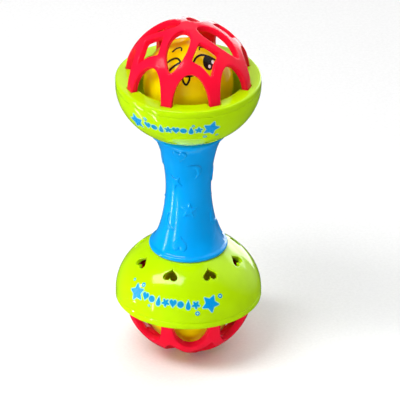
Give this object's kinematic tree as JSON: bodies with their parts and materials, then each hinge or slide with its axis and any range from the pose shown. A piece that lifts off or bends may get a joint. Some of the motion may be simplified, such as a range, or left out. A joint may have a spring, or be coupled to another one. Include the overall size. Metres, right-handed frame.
{
  "type": "baby rattle",
  "caption": "Dumbbell-shaped baby rattle: a hollow handle with a bowl at each end, each closed by a domed open cage that keeps a loose ball inside.",
  "frame": {"origin": "middle of the handle, which is the centre of the whole rattle", "axes": "+Z along the handle towards the upper head; -Y is the front, where the upper ball's face looks; +X is to the right of it"},
  "size_m": [0.055, 0.055, 0.138],
  "materials": {
    "red_plastic": "smooth soft plastic, slightly translucent",
    "green_plastic": "polished",
    "blue_plastic": "polished, with raised stars, moons and hearts",
    "yellow_plastic": "polished",
    "bead_plastic": "plain",
    "black_print": "pad printed face on the upper ball",
    "blue_print": "pad printed ornament on the bowls",
    "white_print": "pad printed ground under the ornament, and the highlights in the face"
  },
  "bodies": {
    "frame": {"handle_front_shell": "blue_plastic", "handle_rear_shell": "blue_plastic", "upper_bowl": "green_plastic", "upper_rim_ring": "green_plastic", "upper_cage": "red_plastic", "lower_bowl": "green_plastic", "lower_rim_ring": "green_plastic", "lower_cage": "red_plastic"},
    "upper_beads": {"upper_ball_beads": "bead_plastic"},
    "upper_ball": {"upper_ball_front_shell": "yellow_plastic", "upper_ball_rear_shell": "yellow_plastic"},
    "lower_beads": {"lower_ball_beads": "bead_plastic"},
    "lower_ball": {"lower_ball_front_shell": "yellow_plastic", "lower_ball_rear_shell": "yellow_plastic"}
  },
  "joints": [
    {"name": "upper_ball_travel", "type": "slide", "parent": "frame", "child": "upper_beads", "axis": [0, 0, 1], "range_m": [0, 0.005]},
    {"name": "upper_ball_spin", "type": "hinge", "parent": "upper_beads", "child": "upper_ball", "pos_m": [0, 0, 0.0446], "axis": [0, 0, 1], "continuous": true},
    {"name": "lower_ball_travel", "type": "slide", "parent": "frame", "child": "lower_beads", "axis": [0, 0, 1], "range_m": [0, 0.005]},
    {"name": "lower_ball_spin", "type": "hinge", "parent": "lower_beads", "child": "lower_ball", "pos_m": [0, 0, -0.0496], "axis": [0, 0, 1], "continuous": true}
  ]
}
